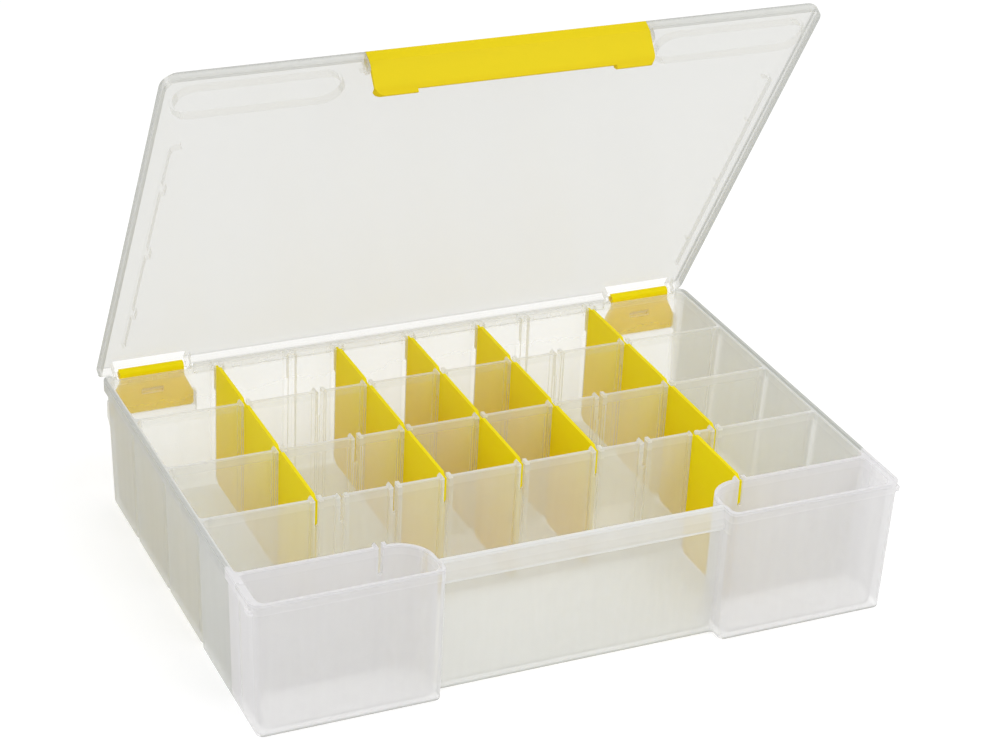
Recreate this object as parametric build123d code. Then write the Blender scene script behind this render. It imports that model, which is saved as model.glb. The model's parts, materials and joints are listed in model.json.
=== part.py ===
from build123d import *
import os
from math import cos, radians, sin, tan

# Tray outside, millimetres, measured from the front faces of the corner bays
tray_width = 355.0
tray_depth = 245.8
tray_height = 75.5
wall = 1.8
floor = 1.8
rim_reach = 1.4
rim_height = 6.0
rim_edge = 1.6
ledge_drop = 0.9
side_lean = 2.4
front_band = 0.4
front_corner_radius = 3.5
rim_corner_radius = 6.0
rear_corner_radius = 6.0
groove_radius = 3.0
foot_radius = 3.0
front_foot_radius = 1.2

# Fixed partitions, by their middle planes, and the walls of the corner bays
partition = 1.4
partition_lean = 0.3
front_partition = 85.4
middle_partition = 139.6
rear_partition = 194.0
bay_rear = 32.0
bay_wall = 1.8
recess_half_width = 77.8
recess_depth = 8.8
bay_end_radius = 18.0
bay_corner_radius = 6.0
pocket_corner_radius = 2.5
pocket_foot = 2.2
bay_front_wall = 2.0
bay_side_inset = 1.0

# Strike lip along the middle of the front wall
lip_height = 12.5
lip_reach = 2.5
lip_lead = 9.5
lip_top_reach = 0.4

# Lifting lug under the rim at each front corner
lug_length = 7.0
lug_middle = 5.0
lug_height = 2.0
lug_inset = 1.0

# Upright ribs that guide the dividers, and the slots between them
inner_slot = 43.1
spare_slot = 71.2
outer_slot = 113.5
front_slot = 100.0
slot_play = 0.25
slot_depth = 14.5
rib_width = 2.4
rib_reach = 1.5
nib_rise = 1.5
pad_rise = 0.9
rear_boss_reach = 4.4

# Lift-out dividers
divider_thickness = 1.9
divider_rise = 0.6
divider_play = 0.2
ear_gap = 0.2
ear_slope = 1.0
ear_drop = 1.7
ear_height = 13.2
divider_foot = 3.2

# Lid, drawn closed and then swung open
lid_side_reach = 0.7
lid_overhang = 2.0
lid_tail = 2.8
lid_panel = 1.8
lid_skirt = 2.2
lid_depth = 4.8
lid_edge = 1.0
lid_seat_gap = 0.1
lid_front_radius = 9.0
lid_rear_radius = 3.5
lid_open_angle = 60.0

# Long ribs and bay frames under the lid
side_rib_inset = 7.3
side_rib_start = 24.0
side_rib_length = 172.0
side_rib_width = 1.6
side_rib_depth = 3.2
side_rib_hook = 6.0
side_rib_bend = 5.0
side_rib_pad_width = 3.0
side_rib_pad_length = 7.0
bay_frame_inset = 5.5
bay_frame_rear_gap = 3.6
bay_frame_side_gap = 2.3
bay_frame_end_gap = 4.9
bay_frame_wall = 1.5
bay_frame_depth = 4.6

# Rear hinges
hinge_inset = 28.5
hinge_offset = 3.1
hinge_drop = 1.3
bar_radius = 1.5
running_gap = 0.05
barrel_radius = 2.8
barrel_length = 36.0
window_play = 2.5
window_gap = 1.1
cheek = 2.0
barrel_mouth_angle = 80.0
barrel_mouth_turn = 30.0
leaf_half_width = 23.2
leaf_thickness = 2.2
leaf_drop = 23.5
leaf_gap = 0.1
leaf_straight = 0.35
leaf_shoulder = 4.5
leaf_corner_radius = 2.0
mouth_rise = 1.6
shelf_height = 3.0
guide_wall = 1.4
guide_gap = 0.2
guide_lip = 1.6
catch_width = 12.0
catch_height = 3.0
catch_reach = 1.0
catch_rise = 11.0
catch_gap = 0.3
hinge_clearance = 0.4

# Front latch
latch_side_gap = 2.2
latch_thickness = 1.8
latch_shoulder = 6.6
latch_length = 17.6
latch_slant = 24.7
latch_pivot_inset = 3.4
latch_pivot_drop = 3.6
latch_barrel_radius = 3.2
latch_pin_radius = 1.3
latch_pin_length = 2.4
latch_bore_depth = 3.0
latch_end_gap = 0.3
latch_swing_gap = 5.2
latch_edge = 0.6
latch_corner_radius = 5.0
latch_root_drop = 2.6
latch_root_rise = 3.1
hook_length = 22.0
hook_drop = 2.0
latch_catch_gap = 0.4
hook_wall_gap = 0.6
lid_ear_thickness = 1.6
lid_ear_radius = 3.3
lid_ear_length = 11.0

# How far a cutter runs past the face it opens
overcut = 1.0

# Places that follow from the sizes above
half_width = tray_width / 2
half_depth = tray_depth / 2
wall_outer = half_width - rim_reach
wall_inner = wall_outer - wall
rear_outer = tray_depth - rim_reach
rear_inner = rear_outer - wall
rim_base = tray_height - rim_height
wall_top = tray_height - ledge_drop
slot_floor = wall_top - slot_depth
front_inner = recess_depth + wall
partitions = (front_partition, middle_partition, rear_partition)
slot_width = divider_thickness + 2 * slot_play
divider_places = (-outer_slot, -inner_slot, 0.0, inner_slot, outer_slot)
slot_places = divider_places + (-spare_slot, spare_slot)
front_slot_places = (-front_slot, front_slot)
hinge_axis = rear_outer + hinge_offset
hinge_height = tray_height - hinge_drop
hinge_place = half_width - hinge_inset
window_length = barrel_length + 2 * window_play
window_reach = barrel_radius + window_gap
lid_under = tray_height + lid_seat_gap
lid_top = lid_under + lid_depth
lid_half_width = half_width + lid_side_reach
lid_front = -lid_overhang
lid_rear = hinge_axis + lid_tail
pivot_y = lid_front + latch_pivot_inset
pivot_z = lid_top - latch_pivot_drop
rib_foot = floor / 2
leaf_foot = hinge_height - leaf_drop
catch_foot = leaf_foot + catch_rise
lid_ceiling = lid_top - lid_panel
side_rib_place = wall_inner - side_rib_inset
bay_frame_outer = wall_inner - bay_frame_side_gap
bay_frame_inner = recess_half_width + bay_wall + bay_frame_end_gap
bay_frame_width = bay_rear - bay_wall / 2 - bay_frame_inset - bay_frame_rear_gap
latch_half_width = recess_half_width - latch_side_gap


def block(x, y, z):
    """A box between three pairs of limits."""
    sizes = [high - low for low, high in (x, y, z)]
    middle = [(low + high) / 2 for low, high in (x, y, z)]
    return Pos(*middle) * Box(*sizes)


def both_sides(shape):
    """A shape together with its twin across the middle plane."""
    return [shape, mirror(shape, about=Plane.YZ)]


def outline(corners, height):
    """A flat outline at a height, each corner given as x, y and its radius."""
    points = [(x, y) for x, y, radius in corners]
    radii = [radius for x, y, radius in corners]
    return Pos(0, 0, height) * make_face(FilletPolyline(*points, radius=radii, close=True))


def rectangle(x, y, front_radius, rear_radius):
    """Corners of a rectangle for outline()."""
    return [
        (x[0], y[0], front_radius),
        (x[1], y[0], front_radius),
        (x[1], y[1], rear_radius),
        (x[0], y[1], rear_radius),
    ]


def tub(low, high, foot):
    """A body that widens from its foot outline to its mouth outline, with a rounded foot."""
    body = loft([low, high], ruled=True)
    return fillet(body.faces().sort_by(Axis.Z)[0].edges(), foot)


def row_limits(front, rear, lean):
    """Front and rear limits of one row's pocket, between the faces of its partitions."""
    first = front + partition / 2 + lean
    last = rear - partition / 2 - lean
    return first, last


def row_outside(front, rear):
    """The outside of one full row, rounded at its corners where the side grooves run."""
    last = rear == rear_outer
    corner = rear_corner_radius if last else groove_radius
    low_rear = rear - side_lean if last else rear
    low_half = wall_outer - side_lean
    low = outline(rectangle((-low_half, low_half), (front, low_rear), groove_radius, corner), 0)
    high = outline(rectangle((-wall_outer, wall_outer), (front, rear), groove_radius, corner), tray_height)
    return tub(low, high, foot_radius)


def front_corners(half, front, rear):
    """Corners of the front row's outside, with the recess between the corner bays."""
    return [
        (-half, front, front_corner_radius),
        (-recess_half_width, front, front_corner_radius),
        (-recess_half_width, recess_depth, wall),
        (recess_half_width, recess_depth, wall),
        (recess_half_width, front, front_corner_radius),
        (half, front, front_corner_radius),
        (half, rear, groove_radius),
        (-half, rear, groove_radius),
    ]


def front_outside():
    """The outside of the front row and its two corner bays."""
    low = outline(front_corners(wall_outer - side_lean, 0, front_partition), 0)
    high = outline(front_corners(wall_outer, 0, front_partition), tray_height)
    return tub(low, high, front_foot_radius)


def partition_feet():
    """Flat strips under the partitions, which close the gaps between the rows' rounded feet."""
    half = wall_outer - side_lean - groove_radius
    reach = 2 * foot_radius
    return [block((-half, half), (y - reach, y + reach), (0, foot_radius)) for y in partitions]


def rim():
    """The flange round the mouth, with the raised band on the bays' front faces."""
    corners = [
        (-half_width, -front_band, rim_corner_radius),
        (-recess_half_width, -front_band, front_corner_radius),
        (-recess_half_width, recess_depth, wall),
        (recess_half_width, recess_depth, wall),
        (recess_half_width, -front_band, front_corner_radius),
        (half_width, -front_band, rim_corner_radius),
        (half_width, tray_depth, rear_corner_radius),
        (-half_width, tray_depth, rear_corner_radius),
    ]
    return extrude(outline(corners, rim_base), rim_height)


def row_pocket(front, rear):
    """The inside of one full row."""
    last = rear == rear_outer
    corner = rear_corner_radius if last else pocket_corner_radius
    shapes = []
    for height, lean, side in ((floor, partition_lean, side_lean), (tray_height + overcut, 0, 0)):
        y = row_limits(front, rear, lean)
        if last:
            y = (y[0], rear_inner - side)
        x = (side - wall_inner, wall_inner - side)
        shapes.append(outline(rectangle(x, y, pocket_corner_radius, corner), height))
    return tub(*shapes, pocket_foot)


def front_pocket():
    """The inside of the front row, which reaches forward between the two bays."""
    shapes = []
    for height, lean, side in ((floor, partition_lean, side_lean), (tray_height + overcut, 0, 0)):
        half = wall_inner - side
        middle = recess_half_width - lean
        front = front_inner + lean
        step = bay_rear + bay_wall / 2 + lean
        rear = front_partition - partition / 2 - lean
        corners = [
            (-half, step, pocket_corner_radius),
            (-middle, step, bay_end_radius),
            (-middle, front, pocket_corner_radius),
            (middle, front, pocket_corner_radius),
            (middle, step, bay_end_radius),
            (half, step, pocket_corner_radius),
            (half, rear, pocket_corner_radius),
            (-half, rear, pocket_corner_radius),
        ]
        shapes.append(outline(corners, height))
    return tub(*shapes, pocket_foot)


def bay_pocket():
    """The inside of the right corner bay."""
    shapes = []
    for height, lean, side in ((floor, partition_lean, side_lean), (tray_height + overcut, 0, 0)):
        inner = recess_half_width + bay_wall + lean
        outer = wall_inner - bay_side_inset - side
        front = bay_front_wall + lean
        rear = bay_rear - bay_wall / 2 - lean
        corners = [
            (inner, front, bay_corner_radius),
            (outer, front, bay_corner_radius),
            (outer, rear, pocket_corner_radius),
            (inner, rear, bay_end_radius - bay_wall),
        ]
        shapes.append(outline(corners, height))
    return tub(*shapes, pocket_foot)


def ledge():
    """The step inside the rim, level with the tops of the partitions."""
    half = half_width - rim_edge
    corners = [
        (-half, rim_edge - front_band, rim_corner_radius - rim_edge),
        (-recess_half_width - bay_wall, rim_edge - front_band, front_corner_radius - rim_edge),
        (-recess_half_width - bay_wall, front_inner, pocket_corner_radius),
        (recess_half_width + bay_wall, front_inner, pocket_corner_radius),
        (recess_half_width + bay_wall, rim_edge - front_band, front_corner_radius - rim_edge),
        (half, rim_edge - front_band, rim_corner_radius - rim_edge),
        (half, rear_outer, rear_corner_radius - rim_edge),
        (-half, rear_outer, rear_corner_radius - rim_edge),
    ]
    return extrude(outline(corners, wall_top), ledge_drop + overcut)


def rib_pair(x, top):
    """Front view of the two ribs at a slot: a pointed one and a flat one, as a sketch."""
    gap = slot_width / 2
    left = x - gap - rib_width
    right = x + gap + rib_width
    pointed = Polygon(
        (left, rib_foot),
        (x - gap, rib_foot),
        (x - gap, top),
        (left + rib_width / 2, top + nib_rise),
        (left, top),
        align=None,
    )
    flat = Polygon(
        (x + gap, rib_foot),
        (right, rib_foot),
        (right, top),
        (right - pad_rise / 2, top + pad_rise),
        (x + gap, top + pad_rise),
        align=None,
    )
    return pointed + flat


def upright(sketch, y):
    """A front-view sketch pushed through from one depth to another."""
    return Pos(0, y[1], 0) * extrude(Plane.XZ * sketch, y[1] - y[0])


def ribs(places, y, top):
    """Rib pairs at several places across the tray, between two depths."""
    return upright(Sketch() + [rib_pair(x, top) for x in places], y)


def slots(places, y):
    """Thin slots with round bottoms, cut down from the top of a wall."""
    depth = wall_top + nib_rise + overcut - slot_floor
    shapes = [Pos(x, slot_floor + depth / 2) * Rectangle(slot_width, depth) for x in places]
    rounds = [Pos(x, slot_floor) * Circle(slot_width / 2) for x in places]
    return upright(Sketch() + shapes + rounds, y)


def rear_bosses():
    """Bosses on the rear wall: rib pairs with a filled channel below each slot, cut to its lean."""
    face = rear_inner - rear_boss_reach
    deep = rear_inner + wall / 3
    gap = slot_width / 2
    reach = gap + rib_width
    bosses = ribs(slot_places, (face, deep), wall_top)
    bosses += [
        block((x - gap, x + gap), (face + rib_reach, deep), (rib_foot, slot_floor - ear_slope))
        for x in slot_places
    ]
    behind = Polygon(
        (deep - side_lean, 0),
        (deep + overcut, 0),
        (deep + overcut, tray_height),
        (deep, tray_height),
        align=None,
    )
    length = 2 * (outer_slot + reach + overcut)
    return bosses - Pos(-length / 2, 0, 0) * extrude(Plane.YZ * behind, length)


def strike_lip():
    """The lip along the top of the front wall that the latch hooks under."""
    low = tray_height - lip_height
    profile = Polygon(
        (recess_depth, low),
        (recess_depth, tray_height),
        (recess_depth - lip_top_reach, tray_height),
        (recess_depth - lip_reach, tray_height - lip_lead),
        (recess_depth - lip_reach, low + lip_reach / 2),
        (recess_depth - lip_reach + lip_reach / 4, low),
        align=None,
    )
    length = 2 * (recess_half_width + bay_wall / 2)
    return Pos(-length / 2, 0, 0) * extrude(Plane.YZ * profile, length)


def corner_lug():
    """The small lifting lug under the rim at a front corner."""
    profile = Pos(half_width - lug_inset, lug_middle) * SlotOverall(lug_length, lug_height * 2, rotation=90)
    return extrude(Pos(0, 0, rim_base) * profile, lug_height)


def hinge_seat():
    """Room cut for one hinge: a notch in the rear rim for the leaf and a mouth for its barrel."""
    half = leaf_half_width + hinge_clearance
    x = (hinge_place - half, hinge_place + half)
    notch = block(x, (rear_outer, tray_depth + overcut), (rim_base - overcut, tray_height + overcut))
    window = window_length / 2
    low = hinge_height - barrel_radius + mouth_rise
    mouth = block(
        (hinge_place - window, hinge_place + window),
        (rear_inner - overcut, tray_depth),
        (low, tray_height + overcut),
    )
    return [notch, mouth]


def leaf_guides():
    """What holds one leaf on the rear wall: a shelf under it, two guide rails and a snap nub."""
    root = rear_outer - wall
    front = rear_outer + leaf_gap
    lip = front + leaf_thickness + guide_gap
    back = lip + guide_wall
    top = leaf_foot - leaf_gap
    shelf = Polygon(
        (root, top - 2 * shelf_height),
        (back, top - shelf_height / 2),
        (back, top),
        (root, top),
        align=None,
    )
    inner = leaf_half_width + guide_gap
    outer = inner + guide_wall
    held = leaf_half_width - guide_lip
    rail = Polygon(
        (inner, root), (outer, root), (outer, back), (held, back), (held, lip), (inner, lip), align=None
    )
    low = top - shelf_height / 2
    high = leaf_foot + leaf_drop * leaf_straight
    rail = Pos(0, 0, low) * extrude(rail, high - low)
    nub = Polygon(
        (root, catch_foot),
        (front + catch_reach, catch_foot),
        (front + catch_reach, catch_foot + catch_height / 3),
        (front, catch_foot + catch_height),
        (root, catch_foot + catch_height),
        align=None,
    )
    pieces = [
        Pos(-outer, 0, 0) * extrude(Plane.YZ * shelf, 2 * outer),
        Pos(-catch_width / 2, 0, 0) * extrude(Plane.YZ * nub, catch_width),
    ]
    return [Pos(hinge_place, 0, 0) * piece for piece in pieces + both_sides(rail)]


def base_tray():
    """The whole tray: outer walls, rim, pockets, divider guides and hinge seats."""
    edges = (front_partition, middle_partition, rear_partition, rear_outer)
    outside = [row_outside(front, rear) for front, rear in zip(edges, edges[1:])]
    body = front_outside() + outside + partition_feet() + [rim()] + [strike_lip()]
    body += both_sides(corner_lug())
    pockets = [row_pocket(front, rear) for front, rear in zip(edges, edges[1:])]
    body -= pockets + [front_pocket()] + both_sides(bay_pocket()) + [ledge()]
    guides = []
    for y in partitions:
        limits = (y - partition / 2 - rib_reach, y + partition / 2 + rib_reach)
        guides.append(ribs(slot_places, limits, wall_top))
    face = front_partition - partition / 2 - rib_reach
    guides.append(ribs(front_slot_places, (face, front_partition), wall_top))
    guides.append(ribs(front_slot_places, (bay_rear, bay_rear + bay_wall / 2 + rib_reach), wall_top))
    body += guides + [rear_bosses()]
    cuts = []
    for y in partitions:
        cuts.append(slots(slot_places, (y - partition, y + partition)))
    cuts.append(slots(front_slot_places, (front_partition - partition, front_partition + partition)))
    cuts.append(slots(front_slot_places, (bay_rear - bay_wall, bay_rear + bay_wall)))
    for piece in hinge_seat():
        cuts += both_sides(piece)
    body -= cuts
    for piece in leaf_guides():
        body += both_sides(piece)
    return body


def lean_at(z, lean):
    """How far a wall with a lean from mouth to floor has moved in at a height."""
    mouth = tray_height + overcut
    return lean * (mouth - z) / (mouth - floor)


def divider(front, rear):
    """One divider between two wall faces, with an ear at each upper end for the slots.

    Each end is given as the wall's face at the mouth and the depth that the ear reaches."""
    low = floor + divider_play
    high = wall_top + divider_rise
    ear_top = high - ear_drop
    ear_foot = ear_top - ear_height
    shoulder = ear_foot - ear_slope
    front_face, front_ear = front
    rear_face, rear_ear = rear
    inset = divider_play + lean_at(shoulder, partition_lean)
    low_inset = divider_play + lean_at(low, partition_lean)
    profile = Polygon(
        (front_face + low_inset + divider_foot, low),
        (rear_face - low_inset - divider_foot, low),
        (rear_face - low_inset, low + divider_foot),
        (rear_face - inset, shoulder),
        (rear_ear, ear_foot),
        (rear_ear, ear_top),
        (rear_face - inset - ear_drop, ear_top),
        (rear_face - inset - 2 * ear_drop, high),
        (front_face + inset + 2 * ear_drop, high),
        (front_face + inset + ear_drop, ear_top),
        (front_ear, ear_top),
        (front_ear, ear_foot),
        (front_face + inset, shoulder),
        (front_face + low_inset, low + divider_foot),
        align=None,
    )
    return Pos(-divider_thickness / 2, 0, 0) * extrude(Plane.YZ * profile, divider_thickness)


def row_divider(front, rear):
    """The divider of a row between two partitions, given by their middle planes."""
    half = partition / 2
    return divider((front + half, front + ear_gap / 2), (rear - half, rear - ear_gap / 2))


def rear_divider():
    """The divider of the rear row, whose rear ear goes into a boss on the rear wall."""
    half = partition / 2
    boss = rear_inner - rear_boss_reach + rib_reach
    front = (rear_partition + half, rear_partition + ear_gap / 2)
    ear_end = rear_inner - lean_at(slot_floor, side_lean) - divider_play
    return divider(front, (boss, ear_end))


def front_divider():
    """The divider of the front row, between a bay's rear wall and the front partition."""
    rear = (front_partition - partition / 2, front_partition - ear_gap / 2)
    return divider((bay_rear + bay_wall / 2, bay_rear + ear_gap / 2), rear)


def side_rib():
    """One long rib under the lid, with a hooked front end and pads over the partitions."""
    start = hinge_axis - side_rib_start
    end = start - side_rib_length
    hook = side_rib_place - side_rib_hook
    path = FilletPolyline(
        (side_rib_place, start), (side_rib_place, end), (hook, end), radius=side_rib_bend
    )
    shape = Sketch() + trace(path, side_rib_width)
    for y in partitions:
        pad = Rectangle(side_rib_pad_width, side_rib_pad_length)
        shape += Pos(side_rib_place - side_rib_pad_width / 2, y) * pad
    height = side_rib_depth + lid_panel / 2
    return extrude(Pos(0, 0, lid_ceiling - side_rib_depth) * shape, height)


def bay_frame():
    """The long rounded frame under the lid that drops into one bay's mouth."""
    length = bay_frame_outer - bay_frame_inner
    place = Pos((bay_frame_outer + bay_frame_inner) / 2, bay_frame_inset + bay_frame_width / 2)
    ring = SlotOverall(length, bay_frame_width)
    ring -= SlotOverall(length - 2 * bay_frame_wall, bay_frame_width - 2 * bay_frame_wall)
    height = bay_frame_depth + lid_panel / 2
    return extrude(Pos(0, 0, lid_ceiling - bay_frame_depth) * (place * ring), height)


def lid_ear():
    """The ear beside one end of the latch, with the pin that the latch turns on."""
    low = lid_top - lid_ear_length + lid_ear_radius
    inner = latch_half_width + latch_end_gap
    profile = Pos(pivot_y, low) * Circle(lid_ear_radius)
    y = (lid_front, pivot_y + lid_ear_radius)
    cheek_plate = block((inner, inner + lid_ear_thickness), y, (low, lid_top - latch_edge))
    lobe = Pos(inner, 0, 0) * extrude(Plane.YZ * profile, lid_ear_thickness)
    pin = extrude(Plane.YZ * (Pos(pivot_y, pivot_z) * Circle(latch_pin_radius)), latch_pin_length + wall)
    return cheek_plate + lobe + Pos(inner - latch_pin_length, 0, 0) * pin


def hinge_cheeks():
    """The pivot bar across one hinge window and the two cheeks that carry it."""
    half = window_length / 2
    profile = Pos(hinge_axis, hinge_height) * Circle(barrel_radius)
    profile += Pos(hinge_axis, (hinge_height + lid_ceiling) / 2) * Rectangle(
        2 * barrel_radius, lid_ceiling - hinge_height + lid_panel / 2
    )
    side = extrude(Plane.YZ * profile, cheek)
    bar_length = window_length + 2 * cheek
    bar = extrude(Plane.YZ * (Pos(hinge_axis, hinge_height) * Circle(bar_radius)), bar_length)
    return [
        Pos(hinge_place - half - cheek, 0, 0) * side,
        Pos(hinge_place + half, 0, 0) * side,
        Pos(hinge_place - half - cheek, 0, 0) * bar,
    ]


def lid_closed():
    """The lid as it lies on the tray: panel, skirt, windows, ribs, ears and pivot bars."""
    x = (-lid_half_width, lid_half_width)
    y = (lid_front, lid_rear)
    shell = extrude(outline(rectangle(x, y, lid_front_radius, lid_rear_radius), lid_under), lid_depth)
    shell = fillet(shell.faces().sort_by(Axis.Z)[-1].edges(), lid_edge)
    inner = (lid_skirt - lid_half_width, lid_half_width - lid_skirt)
    depth = (lid_front + lid_skirt, lid_rear - lid_skirt)
    room = rectangle(inner, depth, lid_front_radius - lid_skirt, lid_rear_radius - lid_skirt)
    body = shell - extrude(outline(room, lid_under), lid_depth - lid_panel)
    gap = latch_half_width + latch_end_gap
    back = pivot_y + latch_swing_gap
    outer = gap + lid_ear_thickness
    front = lid_front + lid_skirt / 2
    body += block((-outer, outer), (front, back + lid_skirt), (lid_under, lid_ceiling))
    body -= block((-gap, gap), (lid_front - overcut, back), (lid_under - overcut, lid_top + overcut))
    half = window_length / 2
    edge = hinge_axis - window_reach
    border = block(
        (hinge_place - half - cheek, hinge_place + half + cheek),
        (edge - cheek, lid_rear - lid_skirt / 2),
        (lid_under, lid_ceiling + lid_panel / 2),
    )
    window = block(
        (hinge_place - half, hinge_place + half),
        (edge, lid_rear + overcut),
        (lid_under - overcut, lid_top + overcut),
    )
    body += both_sides(border)
    body -= both_sides(window)
    for piece in [side_rib(), bay_frame(), lid_ear()] + hinge_cheeks():
        body += both_sides(piece)
    return body


def hinge_leaf():
    """One rear hinge leaf: a plate on the tray's rear wall and a split barrel round the lid's bar."""
    front = rear_outer + leaf_gap
    low, high = leaf_foot, hinge_height
    half = leaf_half_width
    neck = barrel_length / 2
    shape = Polygon(
        (-half, low),
        (half, low),
        (half, low + leaf_drop * leaf_straight),
        (neck, high - leaf_shoulder),
        (neck, high),
        (-neck, high),
        (-neck, high - leaf_shoulder),
        (-half, low + leaf_drop * leaf_straight),
        align=None,
    )
    shape = fillet(shape.vertices().group_by(Axis.Y)[0], leaf_corner_radius)
    hole = Pos(0, catch_foot + catch_height / 2) * Rectangle(
        catch_width + 2 * catch_gap, catch_height + 2 * catch_gap
    )
    depth = catch_reach + catch_gap
    sheet = Pos(0, front + leaf_thickness, 0) * extrude(Plane.XZ * shape, leaf_thickness)
    sheet -= Pos(0, front + depth, 0) * extrude(Plane.XZ * hole, depth + overcut)
    ring = Pos(hinge_axis, hinge_height) * Circle(barrel_radius)
    bore = Pos(hinge_axis, hinge_height) * Circle(bar_radius + running_gap)
    mouth_width = 2 * bar_radius * sin(radians(barrel_mouth_angle) / 2)
    slit = Pos(hinge_axis, hinge_height) * Rot(0, 0, barrel_mouth_turn) * Pos(barrel_radius, 0)
    slit = slit * Rectangle(2 * barrel_radius, mouth_width)
    barrel = extrude(Plane.YZ * (ring - bore - slit), barrel_length)
    bore_cut = extrude(Plane.YZ * bore, barrel_length)
    leaf = sheet - Pos(-neck, 0, 0) * bore_cut + Pos(-neck, 0, 0) * barrel
    return Pos(hinge_place, 0, 0) * leaf


def latch_profile(length):
    """End view of the latch's plate, down to a length of its slanting lower face."""
    lean = radians(latch_slant)
    top = lid_top
    bend = top - latch_shoulder
    foot_y = lid_front + length * sin(lean)
    foot_z = bend - length * cos(lean)
    inner = lid_front + latch_thickness
    return Polygon(
        (lid_front, bend),
        (foot_y, foot_z),
        (foot_y + latch_thickness * cos(lean), foot_z + latch_thickness * sin(lean)),
        (inner, bend + latch_thickness * tan(lean / 2)),
        (inner, pivot_z - latch_root_drop),
        (pivot_y, pivot_z),
        (pivot_y + latch_edge, pivot_z + latch_root_rise),
        (lid_front + latch_edge, top),
        (lid_front, top - latch_edge),
        align=None,
    )


def latch_closed():
    """The latch on the closed lid: plate, pivot barrel and two hooks under the strike lip."""
    lean = radians(latch_slant)
    span = 2 * latch_half_width
    barrel = Pos(pivot_y, pivot_z) * Circle(latch_barrel_radius)
    short = latch_profile(latch_length - hook_drop) + barrel
    body = extrude(Plane.YZ * short, span)
    body = Pos(-latch_half_width, 0, 0) * body
    foot_y = lid_front + latch_length * sin(lean)
    foot_z = lid_top - latch_shoulder - latch_length * cos(lean)
    face_y = foot_y + latch_thickness * cos(lean)
    face_z = foot_z + latch_thickness * sin(lean)
    catch_z = tray_height - lip_height - latch_catch_gap
    tip = recess_depth - hook_wall_gap
    hook = Polygon(
        (face_y - (catch_z - face_z) * tan(lean) - latch_thickness / 2, catch_z),
        (foot_y, foot_z),
        (face_y, face_z),
        (tip, face_z + (catch_z - face_z) / 2),
        (tip, catch_z),
        align=None,
    )
    tab = extrude(Plane.YZ * (latch_profile(latch_length) + hook), hook_length)
    body += both_sides(Pos(latch_half_width - hook_length, 0, 0) * tab)
    rounded = Polygon(
        (-latch_half_width, foot_z),
        (latch_half_width, foot_z),
        (latch_half_width, lid_top + overcut),
        (-latch_half_width, lid_top + overcut),
        align=None,
    )
    rounded = fillet(rounded.vertices().group_by(Axis.Y)[0], latch_corner_radius)
    body &= upright(rounded, (lid_front - overcut, tray_depth))
    bore = extrude(
        Plane.YZ * (Pos(pivot_y, pivot_z) * Circle(latch_pin_radius + running_gap)), latch_bore_depth
    )
    return body - both_sides(Pos(latch_half_width - latch_bore_depth, 0, 0) * bore)


def swung_open(shape):
    """A piece drawn on the closed lid, turned about the hinge to where the lid stands."""
    hinge = Axis((0, hinge_axis, hinge_height), (1, 0, 0))
    return shape.rotate(hinge, -lid_open_angle)


def build():
    """Every piece of the tackle tray, by name."""
    leaf = hinge_leaf()
    pieces = {
        "base_tray": base_tray(),
        "lid": swung_open(lid_closed()),
        "latch": swung_open(latch_closed()),
        "hinge_leaf_right": leaf,
        "hinge_leaf_left": mirror(leaf, about=Plane.YZ),
    }
    rows = {
        "rear": rear_divider(),
        "second": row_divider(middle_partition, rear_partition),
        "third": row_divider(front_partition, middle_partition),
    }
    for row, shape in rows.items():
        for number, x in enumerate(divider_places, start=1):
            pieces[f"divider_{row}_{number}"] = Pos(x, 0, 0) * shape
    pieces["divider_front"] = Pos(front_slot_places[1], 0, 0) * front_divider()
    return pieces


def main():
    """Write each piece to its own file, with the origin under the middle of the tray."""
    os.makedirs("parts", exist_ok=True)
    for name, shape in build().items():
        export_step(Pos(0, -half_depth, 0) * shape, f"parts/{name}.step")


main()
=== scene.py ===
# Tackle tray: a frosted tray with a clear lid, yellow latch, hinge leaves and lift-out dividers.
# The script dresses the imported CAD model, piece by piece, and sets the studio round it.
import json
from math import cos, radians, sin

import bpy
from mathutils import Matrix, Vector

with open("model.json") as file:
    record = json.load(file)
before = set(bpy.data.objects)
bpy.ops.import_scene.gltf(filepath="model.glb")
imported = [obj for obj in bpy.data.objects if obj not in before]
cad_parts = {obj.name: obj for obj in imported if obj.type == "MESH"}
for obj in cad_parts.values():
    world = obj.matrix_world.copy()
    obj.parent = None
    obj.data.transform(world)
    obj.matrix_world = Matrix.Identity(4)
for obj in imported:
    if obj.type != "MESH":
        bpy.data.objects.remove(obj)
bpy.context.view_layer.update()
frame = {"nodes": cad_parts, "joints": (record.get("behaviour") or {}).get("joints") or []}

# The tray
# One moulding in frosted polypropylene: outer walls, rim, partitions, corner bays and slot guides.
# Each face is clear with a milky film, thick on the outer walls and bays and thinner to the back.
FILM_OUTER = 0.55
FILM_FRONT_PARTITION = 0.36
FILM_REAR_PARTITION = 0.12
FILM_REAR_WALL = 0.20
FILM_BAY = 0.36
FILM_BAY_BACK = 0.75
FILM_FLOOR = 0.13
# Denser milk on the rim and the wall tops is a painted highlight.
HIGHLIGHT_AT_RIM = 0.06
HIGHLIGHT_AT_TOPS = 0.3
MORE_AT_STRIKE = 0.2
MORE_AT_FOOT = 0.3
MORE_AT_SLANT = 0.5
LESS_IN_SHADOW = 0.7
MILK_THROUGH = 0.5
TRAY_MILK = (0.885, 0.89, 0.885, 1)
# Darker milk painted as shade on the side walls and on the recess between the bays.
WALL_SHADE_MILK = (0.685, 0.695, 0.68, 1)
BAY_MILK = (0.88, 0.875, 0.885, 1)
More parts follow.
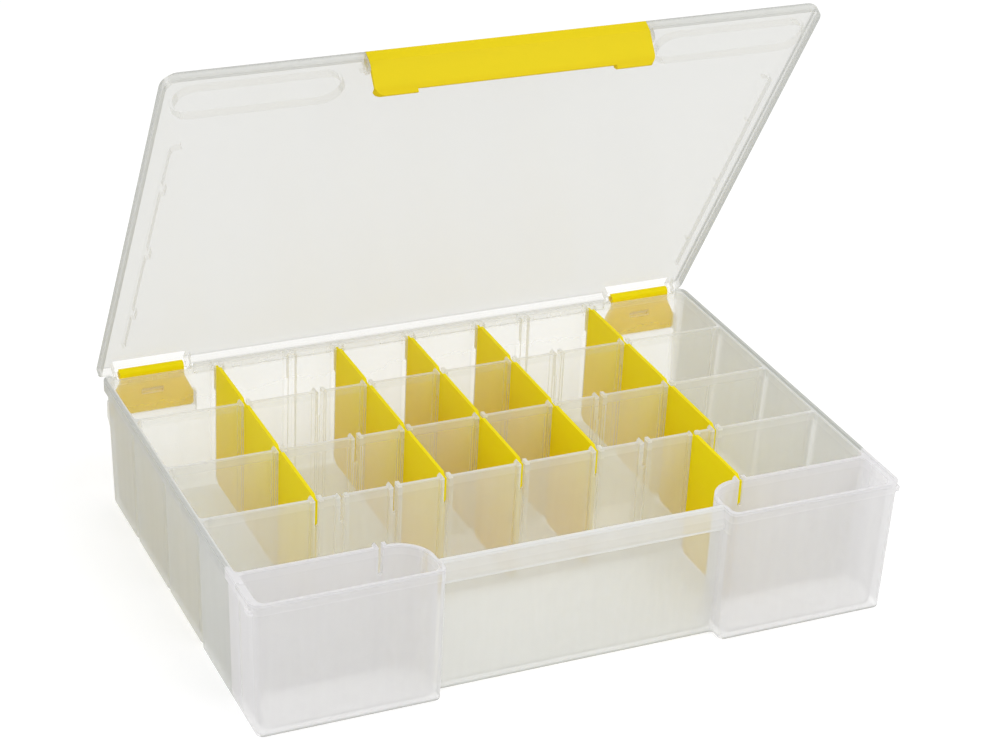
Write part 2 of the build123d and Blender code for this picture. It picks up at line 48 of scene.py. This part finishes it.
# Dark milk painted as a shade line along the foot of the outer walls.
FOOT_SHADE_MILK = (0.50, 0.51, 0.48, 1)
TRAY_CLEAR = (0.997, 0.997, 0.991, 1)
RECESS_SHADE = 0.6
TRAY_ROUGHNESS = 0.4
ROUGHNESS_SWING = 0.12
PLASTIC_IOR = 1.49
SLANT_IOR = 1.25
CLOUD_SCALE = 30.0
CLOUD_SWING = 0.05
STREAK_SCALE = 120.0
STREAK_SWING = 0.06
STREAK_STRETCH = 0.1
GRAIN_SCALE = 900.0
GRAIN_DEPTH = 0.00002
INNER_SIDE = 0.171
INNER_REAR = 0.1215
FRONT_PARTITION = -0.0375
REAR_PARTITION = 0.0711
REAR_WALL = 0.117
SIDE_FACE = 0.1765
SIDE_SKIN = 0.1728
SIDE_LEAN = 0.0318
RECESS_FACE = -0.1137
STRIKE_BACK = -0.112
STRIKE_FOOT = 0.0625
BAY_FACE = -0.1222
BAY_SIDE = 0.0778
BAY_BACK = -0.085
BAY_POCKET_BACK = -0.1
WALL_TOP = 0.074
RIM_FOOT = 0.0695
FLOOR_TOP = 0.0021
FOOT_TOP = 0.0018
WIDE_EDGE = 0.002
STRIKE_EDGE = 0.0015
EDGE = 0.001
TOP_EDGE = 0.0008
RIM_EDGE = 0.0006
SHARP_EDGE = 0.0004


class Socket:
    """A value in a finish's node tree: expressions on it add their Math nodes."""

    def __init__(self, finish, plug):
        self.finish = finish
        self.plug = plug

    def output(self, name):
        """Another output of the same node."""
        return Socket(self.finish, self.plug.node.outputs[name])

    def math(self, operation, *values):
        """A Math node on this value and others."""
        return self.finish.node("Math", {"operation": operation}, dict(enumerate((self,) + values)))

    def __add__(self, other):
        return self.math("ADD", other)

    __radd__ = __add__

    def __mul__(self, other):
        return self.math("MULTIPLY", other)

    __rmul__ = __mul__

    def __sub__(self, other):
        return self.math("SUBTRACT", other)

    def __rsub__(self, other):
        return self.finish.node("Math", {"operation": "SUBTRACT"}, {0: other, 1: self})

    def __abs__(self):
        return self.math("ABSOLUTE")

    def above(self, edge, soft):
        """0 below an edge and 1 above it, over a soft width."""
        limits = {"Value": self, "From Min": edge - soft / 2, "From Max": edge + soft / 2}
        return self.finish.node("MapRange", {}, limits)

    def below(self, edge, soft):
        """1 below an edge and 0 above it, over a soft width."""
        return 1 - self.above(edge, soft)

    def capped(self):
        """The value kept between 0 and 1."""
        return self.finish.node("Clamp", {}, {"Value": self})


class Finish:
    """A material, or a sky, that is built up node by node."""

    def __init__(self, holder):
        holder.use_nodes = True
        self.holder = holder
        self.tree = holder.node_tree
        self.tree.nodes.clear()

    def node(self, kind, settings, inputs):
        """Adds a node with its settings and what its sockets hold, and gives its first output."""
        made = self.tree.nodes.new("ShaderNode" + kind)
        for name, value in settings.items():
            setattr(made, name, value)
        for name, value in inputs.items():
            if isinstance(value, Socket):
                self.tree.links.new(value.plug, made.inputs[name])
            else:
                made.inputs[name].default_value = value
        return Socket(self, made.outputs[0]) if made.outputs else made

    def place(self, turned=0.0, shift=(0, 0, 0), scale=(1, 1, 1)):
        """Object coordinates, turned about X, shifted and scaled."""
        point = self.node("TexCoord", {}, {}).output("Object")
        inputs = {"Vector": point, "Location": shift, "Rotation": (turned, 0, 0), "Scale": scale}
        return self.node("Mapping", {}, inputs)

    def axes(self, point):
        """The three numbers of a point."""
        split = self.node("SeparateXYZ", {}, {"Vector": point})
        return split, split.output("Y"), split.output("Z")

    def noise(self, point, scale):
        """Cloudy noise from 0 to 1."""
        return self.node("TexNoise", {}, {"Vector": point, "Scale": scale})

    def blend(self, factor, first, second):
        """A colour between two colours."""
        mixed = self.node("Mix", {"data_type": "RGBA"}, {0: factor, 6: first, 7: second})
        return mixed.output(2)

    def mix(self, factor, first, second):
        """A shader between two shaders."""
        return self.node("MixShader", {}, {0: factor, 1: first, 2: second})

    def bump(self, height, distance):
        """A surface normal from a height in units of a distance."""
        return self.node("Bump", {}, {"Height": height, "Distance": distance, "Strength": 1.0})

    def wear(self, shader, *pieces):
        """Ends the material in a shader and puts it on pieces."""
        self.node("OutputMaterial", {}, {"Surface": shader})
        for piece in pieces:
            piece.data.materials.clear()
            piece.data.materials.append(self.holder)


def film(finish, amount, tones, clear, normal, roughness):
    """A see-through plastic face: clear, milky by an amount, and more so at a slant.

    The tones are the milk's own, and pairs of a mask and the tone that it brings."""
    milk, *covers = tones
    lit = finish.node("BsdfTranslucent", {}, {"Color": milk})
    for mask, tone in covers:
        milk = finish.blend(mask, milk, tone)
        lit = finish.mix(mask, lit, finish.node("BsdfTranslucent", {}, {"Color": tone}))
    face = finish.node(
        "BsdfPrincipled",
        {},
        {"Base Color": milk, "Roughness": roughness, "IOR": PLASTIC_IOR, "Normal": normal},
    )
    body = finish.mix(MILK_THROUGH, face, lit)
    through = finish.node("BsdfTransparent", {}, {"Color": clear})
    slant = finish.node("Fresnel", {}, {"IOR": SLANT_IOR})
    shadow = finish.node("LightPath", {}, {}).output("Is Shadow Ray")
    share = (amount + slant * MORE_AT_SLANT).capped() * (1 - shadow * LESS_IN_SHADOW)
    return finish.mix(share, through, body)


tray = Finish(bpy.data.materials.new("frosted_polypropylene"))
place = tray.place()
x, y, z = tray.axes(place)
clouds = tray.noise(place, CLOUD_SCALE)
streaks = tray.noise(tray.place(scale=(1, 1, STREAK_STRETCH)), STREAK_SCALE)
grain = tray.noise(place, GRAIN_SCALE)
inner = abs(x).below(INNER_SIDE, WIDE_EDGE) * y.below(INNER_REAR, WIDE_EDGE)
rear = y.above((FRONT_PARTITION + REAR_PARTITION) / 2, REAR_PARTITION - FRONT_PARTITION)
partitions = FILM_FRONT_PARTITION - rear * (FILM_FRONT_PARTITION - FILM_REAR_PARTITION)
partitions = partitions + y.above(REAR_WALL, EDGE) * (FILM_REAR_WALL - FILM_REAR_PARTITION)
bays = abs(x).above(BAY_SIDE, WIDE_EDGE) * y.below(BAY_BACK, WIDE_EDGE)
bay_back = bays * y.above(BAY_POCKET_BACK, WIDE_EDGE)
between_bays = abs(x).below(BAY_SIDE, WIDE_EDGE)
strike = between_bays * y.below(STRIKE_BACK, STRIKE_EDGE) * z.above(STRIKE_FOOT, EDGE)
recess = y.below(RECESS_FACE, SHARP_EDGE) * (1 - bays)
# Painted shade: the outer side walls take a darker milk.
shaded_sides = (abs(x) - z * SIDE_LEAN).above(SIDE_SKIN, SHARP_EDGE) * (1 - bays)
outline = (abs(x).above(SIDE_FACE, SHARP_EDGE) + recess + y.below(BAY_FACE, SHARP_EDGE)).capped()
floor = z.below(FLOOR_TOP, SHARP_EDGE)
# Painted shade: a thin, darker and denser line of milk along the foot of the outer walls.
shaded_foot = z.below(FOOT_TOP, TOP_EDGE) * outline
# Painted highlight: denser milk on the wall tops and the rim, for light carried along the walls.
highlit_tops = z.above(WALL_TOP, TOP_EDGE)
rim = z.above(RIM_FOOT, RIM_EDGE)
walls = FILM_OUTER - inner * (FILM_OUTER - partitions)
walls = walls + bays * (FILM_BAY - walls) + bay_back * (FILM_BAY_BACK - FILM_BAY)
amount = walls + floor * (1 - outline) * (FILM_FLOOR - walls)
amount = amount + rim * HIGHLIGHT_AT_RIM + highlit_tops * HIGHLIGHT_AT_TOPS + strike * MORE_AT_STRIKE + shaded_foot * MORE_AT_FOOT
amount = amount + (clouds - 0.5) * CLOUD_SWING + (streaks - 0.5) * STREAK_SWING
# Painted shade: darker milk on the side walls, and partly on the recess between the bays.
wall_shade = (shaded_sides + recess * (1 - strike) * RECESS_SHADE).capped()
tones = (TRAY_MILK, (wall_shade, WALL_SHADE_MILK), (bays, BAY_MILK), (shaded_foot, FOOT_SHADE_MILK))
roughness = TRAY_ROUGHNESS + clouds * ROUGHNESS_SWING
normal = tray.bump(grain, GRAIN_DEPTH)
tray.wear(film(tray, amount, tones, TRAY_CLEAR, normal, roughness), frame["nodes"]["base_tray"])

# The dividers
# Thin plates moulded in lemon yellow polypropylene, which drop into facing slots of two walls.
# They are a little translucent, with a satin face, and turn a deeper orange lower down in the cells,
# which is painted shade for light bounced between them.
LEMON = (0.98, 0.93, 0.0, 1)
# The deeper tone is painted shade, for light bounced between the yellow faces low in the cells.
LEMON_SHADED = (0.98, 0.80, 0.0, 1)
LEMON_THROUGH = (0.98, 0.78, 0.0, 1)
CELL_MIDDLE = 0.035
CELL_FADE = 0.06
SATIN_ROUGHNESS = 0.42
SATIN_IOR = 1.22
SATIN_THROUGH = 0.4
MOTTLE_SCALE = 40.0
MOTTLE_SWING = 0.5


def yellow(finish, light, shaded_tone, through, shade_mask):
    """A satin yellow face with some light coming through, from a lit tone to a painted shaded tone."""
    place = finish.place()
    mottle = (finish.noise(place, MOTTLE_SCALE) - 0.5) * MOTTLE_SWING
    satin = finish.node(
        "BsdfPrincipled",
        {},
        {
            "Base Color": finish.blend((shade_mask + mottle).capped(), light, shaded_tone),
            "Roughness": SATIN_ROUGHNESS,
            "IOR": SATIN_IOR,
            "Normal": finish.bump(finish.noise(place, GRAIN_SCALE), GRAIN_DEPTH),
        },
    )
    glow = finish.node("BsdfTranslucent", {}, {"Color": through})
    return finish.mix(SATIN_THROUGH, satin, glow)


divider = Finish(bpy.data.materials.new("lemon_divider"))
z = divider.axes(divider.place())[2]
dividers = [frame["nodes"][name] for name in sorted(frame["nodes"]) if name.startswith("divider")]
# Painted shade: the dividers turn to the deeper tone lower down in the cells.
cell_shade = z.below(CELL_MIDDLE, CELL_FADE)
divider.wear(yellow(divider, LEMON, LEMON_SHADED, LEMON_THROUGH, cell_shade), *dividers)

# The hinge leaves
# Two leaves in the lemon plastic of the dividers, which slide down between guides on the rear wall.
# Each snaps over a nub, and the open barrel on top of it takes a pivot bar of the lid.
LEAF_SHADED = (1.0, 0.84, 0.03, 1)
LEAF_THROUGH = (1.0, 0.80, 0.06, 1)
PLATE_TOP = 0.0735
PLATE_FADE = 0.002

leaf = Finish(bpy.data.materials.new("lemon_leaf"))
z = leaf.axes(leaf.place())[2]
leaves = [frame["nodes"]["hinge_leaf_right"], frame["nodes"]["hinge_leaf_left"]]
# Painted shade: the plate below the barrel takes the darker, shaded leaf tone.
plate = z.below(PLATE_TOP, PLATE_FADE)
leaf.wear(yellow(leaf, LEMON, LEAF_SHADED, LEAF_THROUGH, plate), *leaves)

# The lid
# One moulding in clear polypropylene: panel, skirt, two long frames, two side ribs and two latch ears.
# It snaps on the two hinge leaves by its pivot bars, and stands open.
LID_FILM = 0.025
MORE_AT_EDGE = 0.42
MORE_UNDER = 0.02
REAR_SHARE = 0.35
LID_MILK = (0.82, 0.83, 0.81, 1)
# Darker milk painted as shade on the skirt round the lid's edge.
LID_EDGE_SHADE_MILK = (0.68, 0.69, 0.67, 1)
LID_TINT = (0.987, 0.984, 0.977, 1)
LID_ROUGHNESS = 0.12
WAVE_SCALE = 8.0
WAVE_DEPTH = 0.0004
LID_SIDE = 0.176
LID_FRONT = -0.1227
LID_REAR = 0.1252
LID_CEILING = 0.0782
LID_FADE = 0.0012

# The finish is laid out on the lid as it lies shut on the tray
hinge = next(joint for joint in frame["joints"] if joint["name"] == "lid_hinge")
hinge_place = Vector(hinge["pos_m"])
shut = radians(-hinge["range_deg"][0])
lid = Finish(bpy.data.materials.new("clear_polypropylene"))
place = lid.place(shut, hinge_place - Matrix.Rotation(shut, 3, "X") @ hinge_place)
x, y, z = lid.axes(place)
# Painted shade: darker, denser milk on the skirt at the sides and front, and in part at the rear.
edge = abs(x).above(LID_SIDE, LID_FADE) + y.below(LID_FRONT, LID_FADE)
edge = (edge + y.above(LID_REAR, LID_FADE) * REAR_SHARE).capped()
under = z.below(LID_CEILING, RIM_EDGE)
amount = LID_FILM + edge * MORE_AT_EDGE + under * MORE_UNDER
tones = (LID_MILK, (edge, LID_EDGE_SHADE_MILK))
normal = lid.bump(lid.noise(place, WAVE_SCALE), WAVE_DEPTH)
lid.wear(film(lid, amount, tones, LID_TINT, normal, LID_ROUGHNESS), frame["nodes"]["lid"])

# The latch
# One long moulding in yellow polypropylene: a bent plate with a pivot barrel and two hooks.
# It snaps on a pin at each ear of the lid, and its hooks catch under the strike lip of the tray.
LATCH_LIGHT = (0.90, 0.78, 0.012, 1)
LATCH_SHADED = (0.87, 0.73, 0.008, 1)
LATCH_THROUGH = (0.88, 0.72, 0.008, 1)
LATCH_LOWER = 0.279
LATCH_FADE = 0.002

latch = Finish(bpy.data.materials.new("yellow_latch"))
z = latch.axes(latch.place())[2]
# Painted shade: the lower part of the latch takes the darker tone.
shaded_lower = z.below(LATCH_LOWER, LATCH_FADE)
latch.wear(yellow(latch, LATCH_LIGHT, LATCH_SHADED, LATCH_THROUGH, shaded_lower), frame["nodes"]["latch"])

# The studio
# A sweep of white paper under the tray, a pale sky all round, and two large soft lamps.
# The camera stands in front, to the left and above, and is tilted a little.
CAMERA_PLACE = Vector((-0.52155, -1.10355, 0.73897))
CAMERA_TURN = radians(-25.41)
CAMERA_RISE = radians(27.36)
CAMERA_ROLL = radians(3.04)
CAMERA_LENS = 94.51
CAMERA_SENSOR = 36
SWEEP_SIZE = 12
SWEEP_DROP = 0.0004
PAPER = (0.7, 0.7, 0.7, 1)
PAPER_GLOW = 0.4
WHITE = (1, 1, 1, 1)
SKY_LIGHT = 0.76
LAMPS = [("key", (0.7, -0.9, 1.6), 1.2, 12.0), ("fill", (-1.2, -0.9, 1.0), 1.4, 3.0)]
LAMP_AIM = Vector((0, 0, 0.05))
LAYERS_SEEN = 64

level = cos(CAMERA_RISE)
back = Vector((sin(CAMERA_TURN) * level, -cos(CAMERA_TURN) * level, sin(CAMERA_RISE)))
right = Vector((cos(CAMERA_TURN), sin(CAMERA_TURN), 0))
facing = Matrix((right, back.cross(right), back)).transposed() @ Matrix.Rotation(CAMERA_ROLL, 3, "Z")
camera_data = bpy.data.cameras.new("camera")
camera_data.lens = CAMERA_LENS
camera_data.sensor_width = CAMERA_SENSOR
camera = bpy.data.objects.new("camera", camera_data)
camera.matrix_world = Matrix.Translation(CAMERA_PLACE) @ facing.to_4x4()
scene = bpy.context.scene
scene.collection.objects.link(camera)
scene.camera = camera

bpy.ops.mesh.primitive_plane_add(size=SWEEP_SIZE, location=(0, 0, -SWEEP_DROP))
sweep = bpy.context.object
sweep.name = "sweep"
paper = Finish(bpy.data.materials.new("white_paper"))
matt = paper.node("BsdfDiffuse", {}, {"Color": PAPER})
glow = paper.node("Emission", {}, {"Color": WHITE, "Strength": PAPER_GLOW})
path = paper.node("LightPath", {}, {})
seen = (path + path.output("Is Glossy Ray") + path.output("Is Transmission Ray")).capped()
bright = paper.node("AddShader", {}, {0: matt, 1: glow})
paper.wear(paper.mix(seen, matt, bright), sweep)

sky = Finish(bpy.data.worlds.new("sky"))
scene.world = sky.holder
path = sky.node("LightPath", {}, {})
seen = (path + path.output("Is Glossy Ray")).capped()
strength = SKY_LIGHT + seen * (1 - SKY_LIGHT)
shade = sky.node("Background", {}, {"Color": WHITE, "Strength": strength})
sky.node("OutputWorld", {}, {"Surface": shade})

for name, place, size, power in LAMPS:
    light = bpy.data.lights.new(name, "AREA")
    light.size = size
    light.energy = power
    lamp = bpy.data.objects.new(name, light)
    lamp.location = place
    lamp.rotation_euler = (LAMP_AIM - Vector(place)).to_track_quat("-Z", "Y").to_euler()
    scene.collection.objects.link(lamp)

scene.view_settings.view_transform = "Standard"
scene.cycles.transparent_max_bounces = LAYERS_SEEN
